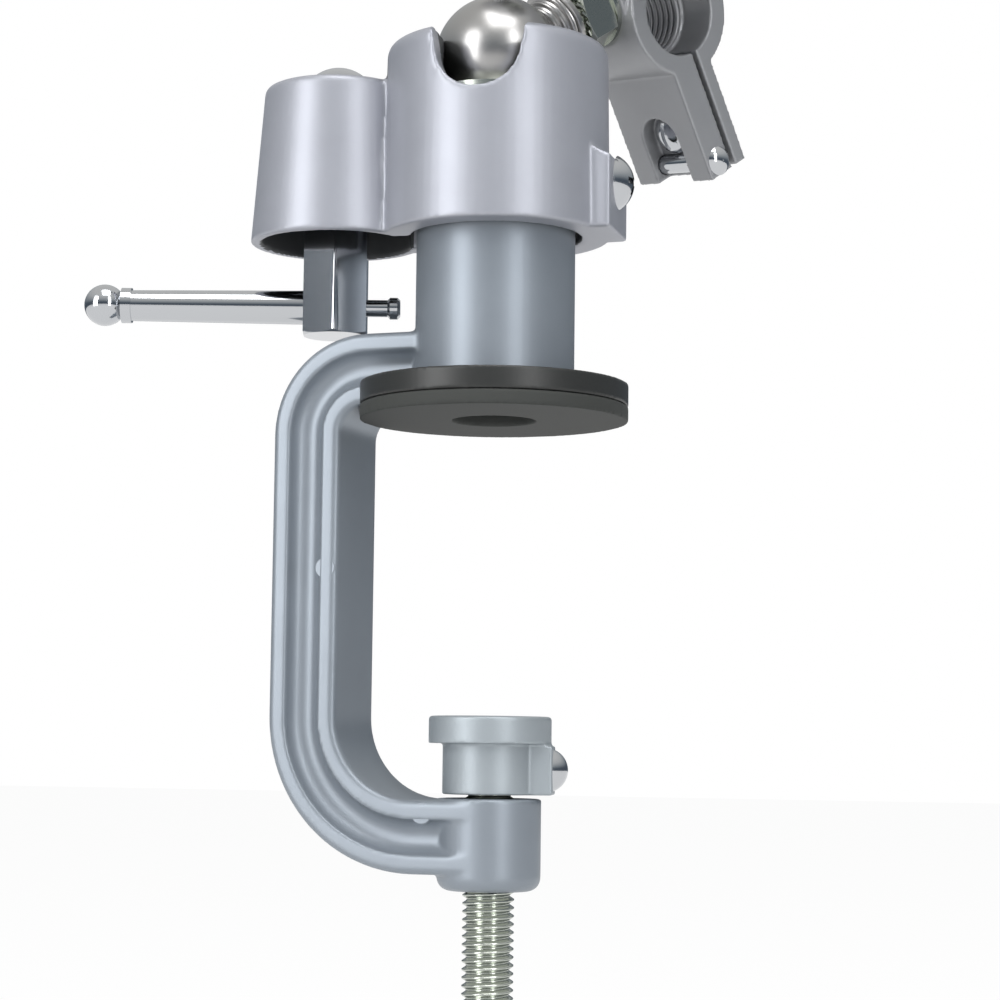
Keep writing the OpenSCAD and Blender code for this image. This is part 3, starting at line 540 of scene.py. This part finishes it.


# The inside of the bore and the lobe is painted dark grey as the shade that falls there, and
# the outside is sprayed like the frame, but in a lighter, more neutral silver.
inside_shade_paint = cast_paint("Painted shade inside the bore and lobe", "3C3E40",
                      rough=0.55, metal=0.5, grain_mm=0.5, grain_depth_mm=0.010)
housing_paint = cast_paint("Silver-grey metallic enamel on cast metal", "9C9EA6",
                           rough=0.42, metal=0.5, grain_mm=0.5, grain_depth_mm=0.010)
housing = cast_piece("swivel_housing", "housing_casting", "housing", "housing_paint", housing_paint,
                     grain_mm=0.41, rounds=3)
HOUSING_TURN = math.radians(5)
LOBE_X = 26.4 * MM
LOBE_CENTRE = Vector((-LOBE_X * math.cos(HOUSING_TURN), -LOBE_X * math.sin(HOUSING_TURN)))
BORE_REACH = 13.6 * MM
LOBE_REACH = 12.3 * MM
# The faces inside the post's bore and the lock lobe take the dark grey painted shade.
paint_shade_inside(housing, inside_shade_paint, Vector((0, 0)), BORE_REACH)
paint_shade_inside(housing, inside_shade_paint, LOBE_CENTRE, LOBE_REACH)
dress(chrome, "guide_screw", "fulcrum_pin")
dress(presser_paint, "rocker_arm")


# Lock. A chromed hex bolt under the lobe, a ball-ended lever pushed through it, a clip
# inside the lobe and a small domed cap on top.
def break_edges(piece, width_mm, angle_deg=25):
    """Breaks a piece's sharp edges with a small rounded bevel."""
    bevel = piece.modifiers.new("Broken edges", "BEVEL")
    bevel.width = width_mm * MM
    bevel.segments = 3
    bevel.limit_method = "ANGLE"
    bevel.angle_limit = math.radians(angle_deg)
    return apply_modifiers(piece)


bolt_low, bolt_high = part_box("lock_bolt")
BOLT_AXIS = Matrix.Translation(((bolt_low.x + bolt_high.x) / 2, (bolt_low.y + bolt_high.y) / 2, 0))
HEX_TOP = 35 * MM
HEX_EDGE_MM = 0.25
hex_part = kept_stretch("lock_bolt", "lock_bolt_hex", BOLT_AXIS, None, HEX_TOP)
break_edges(hex_part, HEX_EDGE_MM)
bolt = joined("lock_bolt_turned", hex_part,
              kept_stretch("lock_bolt", "lock_bolt_shank", BOLT_AXIS, HEX_TOP, None))
finish_piece(bolt, "lock", "chrome_plate", chrome, "lock_bolt")
dress(chrome, "bolt_clip", "bolt_cap", "lock_lever")


# Ball stud. A satin-polished steel ball whose neck steps out in turned rings to a collar.
# Its threaded end goes through a serrated washer, a nut and a plain washer into the head.
BALL_Z = 57.8
STUD_AZIMUTH = math.radians(56)
STUD_TILT = math.radians(56)
HEAD_TURN = math.radians(8)
STUD = (Matrix.Translation((0, 0, BALL_Z * MM)) @ Matrix.Rotation(STUD_AZIMUTH, 4, "Z")
        @ Matrix.Rotation(STUD_TILT, 4, "Y") @ Matrix.Rotation(HEAD_TURN, 4, "Z"))
BALL_R = 10
BALL_STEPS = 60
NECK_R = 3.6
NECK_RINGS = ((4.3, 10.5), (5.0, 11.5), (5.7, 12.5))
RING_PROFILE = ((-0.7, -0.35), (-0.15, -0.3), (0, -0.1), (0, 0.1), (-0.15, 0.3), (-0.3, 0.35))
COLLAR_R = 6.2
COLLAR_LOW = 13.1
COLLAR_HIGH = 14.2
STUD_R = 4
STUD_END = 25.2
# Turned steel, polished to a satin: the room shows in it only as soft patches.
ball_steel = plain_metal("Satin-polished steel", "A9A8A7", 0.30)
neck_lat = math.acos(NECK_R / BALL_R)
ball_outline = [(0, -BALL_R)]
for step in range(1, BALL_STEPS + 1):
    lat = -math.pi / 2 + (neck_lat + math.pi / 2) * step / BALL_STEPS
    ball_outline.append((BALL_R * math.cos(lat), BALL_R * math.sin(lat)))
for ring_r, ring_z in NECK_RINGS:
    ball_outline += [(ring_r + out, ring_z + up) for out, up in RING_PROFILE]
ball_outline += [(COLLAR_R - 0.7, COLLAR_LOW), (COLLAR_R - 0.15, COLLAR_LOW + 0.05),
                 (COLLAR_R, COLLAR_LOW + 0.2), (COLLAR_R, COLLAR_HIGH - 0.1),
                 (COLLAR_R - 0.1, COLLAR_HIGH), (STUD_R, COLLAR_HIGH), (STUD_R, STUD_END - 0.2),
                 (STUD_R - 0.2, STUD_END), (0, STUD_END)]
finish_piece(turned("ball_stud_turned", ball_outline, STUD, sides=128), "ball", "polished_ball",
             ball_steel, "ball_stud")


def teeth_tree():
    """Twisted teeth set round a circle, each a small tilted block."""
    tree = bpy.data.node_groups.new("Washer teeth", "GeometryNodeTree")
    socket(tree, "Count", "NodeSocketInt", 24)
    socket(tree, "Radius", "NodeSocketFloat", 6 * MM)
    socket(tree, "Tooth Size", "NodeSocketVector", (1.2 * MM, 1 * MM, 0.3 * MM))
    socket(tree, "Twist", "NodeSocketFloat", 0.4)
    socket(tree, "Finish", "NodeSocketMaterial", None)
    tree.interface.new_socket("Geometry", in_out="OUTPUT", socket_type="NodeSocketGeometry")
    given = tree.nodes.new("NodeGroupInput").outputs
    ring = add_node(tree, "GeometryNodeMeshCircle",
                    links={"Vertices": given["Count"], "Radius": given["Radius"]})
    block = add_node(tree, "GeometryNodeMeshCube", links={"Size": given["Tooth Size"]})
    point = add_node(tree, "ShaderNodeSeparateXYZ",
                     links={0: tree.nodes.new("GeometryNodeInputPosition").outputs[0]})
    angle = add_node(tree, "ShaderNodeMath", {"operation": "ARCTAN2"},
                     links={0: point.outputs["Y"], 1: point.outputs["X"]})
    facing = add_node(tree, "ShaderNodeCombineXYZ", links={0: given["Twist"], 2: angle.outputs[0]})
    teeth = add_node(tree, "GeometryNodeInstanceOnPoints",
                     links={"Points": ring.outputs["Mesh"], "Instance": block.outputs["Mesh"],
                            "Rotation": facing.outputs[0]})
    real = add_node(tree, "GeometryNodeRealizeInstances", links={"Geometry": teeth.outputs[0]})
    painted = add_node(tree, "GeometryNodeSetMaterial",
                       links={"Geometry": real.outputs[0], "Material": given["Finish"]})
    add_node(tree, "NodeGroupOutput", links={"Geometry": painted.outputs[0]})
    return tree


WASHER_R = 5.7
WASHER_LOW = 14.25
WASHER_HIGH = 14.95
WASHER_EDGE = 0.1
NUT_EDGE_MM = 0.2
teeth = grow("washer_teeth", teeth_tree(),
             {"Count": 26, "Radius": 6.05 * MM, "Tooth Size": (1.3 * MM, 1.15 * MM, 0.3 * MM),
              "Twist": 0.42, "Finish": zinc},
             STUD @ Matrix.Translation((0, 0, (WASHER_LOW + WASHER_HIGH) / 2 * MM)))
plate = turned("washer_plate", [(0, WASHER_LOW), (WASHER_R - WASHER_EDGE, WASHER_LOW),
                                (WASHER_R, WASHER_LOW + WASHER_EDGE),
                                (WASHER_R, WASHER_HIGH - WASHER_EDGE),
                                (WASHER_R - WASHER_EDGE, WASHER_HIGH), (0, WASHER_HIGH)], STUD)
finish_piece(joined("serrated_washer", teeth, plate), "ball", "zinc_plate", zinc, "toothed_washer")
nut = cad_copy("jam_nut", "jam_nut_bevelled")
finish_piece(break_edges(nut, NUT_EDGE_MM), "ball", "zinc_plate", zinc, "jam_nut")
dress(zinc, "ball_seat", "stud_washer")


# Head. A grey enamelled casting with a split eye and a forked foot, closed by a slotted
# pinch screw; a round-head pin crosses the fork. The back of the eye is tapped.
# The same sprayed enamel as the housing, in a darker grey.
head_paint = cast_paint("Grey metallic enamel on cast metal", "96979A",
                        rough=0.42, metal=0.5, grain_mm=0.5, grain_depth_mm=0.010)
cast_piece("head_casting", "head_body_casting", "head", "head_paint", head_paint,
           grain_mm=0.26, rounds=5, kept_share=0.3)
dress(chrome, "pinch_screw", "keeper_pin")
EYE_X = 6.2
EYE_Z = 32.3
EYE_LOW = -8.4
EYE_THREAD_TURNS = 8.2
EYE = (STUD @ Matrix.Translation((EYE_X * MM, 0, EYE_Z * MM))
       @ Matrix.Rotation(math.pi / 2, 4, "X"))


def rib_tree():
    """A screw-thread rib that winds up the inside of a bore."""
    tree = bpy.data.node_groups.new("Bore thread rib", "GeometryNodeTree")
    socket(tree, "Radius", "NodeSocketFloat", 6.7 * MM)
    socket(tree, "Pitch", "NodeSocketFloat", THREAD_PITCH)
    socket(tree, "Turns", "NodeSocketFloat", 8.0)
    socket(tree, "Rib Radius", "NodeSocketFloat", 0.5 * MM)
    socket(tree, "Finish", "NodeSocketMaterial", None)
    tree.interface.new_socket("Geometry", in_out="OUTPUT", socket_type="NodeSocketGeometry")
    given = tree.nodes.new("NodeGroupInput").outputs
    height = add_node(tree, "ShaderNodeMath", {"operation": "MULTIPLY"},
                      links={0: given["Turns"], 1: given["Pitch"]})
    path = add_node(tree, "GeometryNodeCurveSpiral", values={"Resolution": 64},
                    links={"Rotations": given["Turns"], "Start Radius": given["Radius"],
                           "End Radius": given["Radius"], "Height": height.outputs[0]})
    outline = add_node(tree, "GeometryNodeCurvePrimitiveCircle", values={"Resolution": 6},
                       links={"Radius": given["Rib Radius"]})
    rib = add_node(tree, "GeometryNodeCurveToMesh", values={"Fill Caps": True},
                   links={"Curve": path.outputs["Curve"],
                          "Profile Curve": outline.outputs["Curve"]})
    real = add_node(tree, "GeometryNodeRealizeInstances", links={"Geometry": rib.outputs[0]})
    painted = add_node(tree, "GeometryNodeSetMaterial",
                       links={"Geometry": real.outputs[0], "Material": given["Finish"]})
    add_node(tree, "NodeGroupOutput", links={"Geometry": painted.outputs[0]})
    return tree


ribs = grow("eye_thread", rib_tree(), {"Turns": EYE_THREAD_TURNS, "Finish": head_paint},
            EYE @ Matrix.Translation((0, 0, EYE_LOW * MM)))
finish_piece(ribs, "head", "head_paint", head_paint)


# Jaws. Two guide rods carry the moving jaw between the head casting and an end plate;
# each jaw has a grooved plastic pad held by two small screws.
# Moulded nylon-like plastic, satin, with a slight grain.
jaw_plastic = moulded("Grey moulded jaw plastic", "46494C",
                      rough=0.5, grain_mm=0.4, grain_depth_mm=0.01)
cast_piece("moving_jaw", "moving_jaw_casting", "jaw", "head_paint", head_paint,
           grain_mm=0.42, rounds=4)
cast_piece("end_plate", "end_plate_casting", "head", "head_paint", head_paint,
           grain_mm=0.35, rounds=4)
dress(chrome, "guide_rods")
dress(zinc, "rod_screws", "fixed_pad_screws", "moving_pad_screws")
dress(jaw_plastic, "fixed_jaw_pad", "moving_jaw_pad")


# Lead screw. A zinc-plated M8 screw between the jaws, held endways by a clip and a
# washer, with its own cross bar and knobs.
LEAD_Z = 31
LEAD_AXIS = STUD @ Matrix.Translation((0, 0, LEAD_Z * MM)) @ Matrix.Rotation(-math.pi / 2, 4, "Y")
LEAD_THREAD_LOW = 18 * MM
LEAD_THREAD_HIGH = 64 * MM
lead = joined(
    "lead_screw_turned",
    kept_stretch("lead_screw", "lead_screw_journal", LEAD_AXIS, None, LEAD_THREAD_LOW + CUT_LAP),
    threaded_bar("lead_screw_thread", LEAD_THREAD_LOW, LEAD_THREAD_HIGH, LEAD_AXIS, zinc),
    kept_stretch("lead_screw", "lead_screw_head", LEAD_AXIS, LEAD_THREAD_HIGH - CUT_LAP, None))
finish_piece(lead, "lead_spindle", "zinc_plate", zinc, "lead_screw")
dress(zinc, "lead_screw_washer")
dress(chrome, "lead_screw_clip", "lead_bar", "lead_bar_knobs")
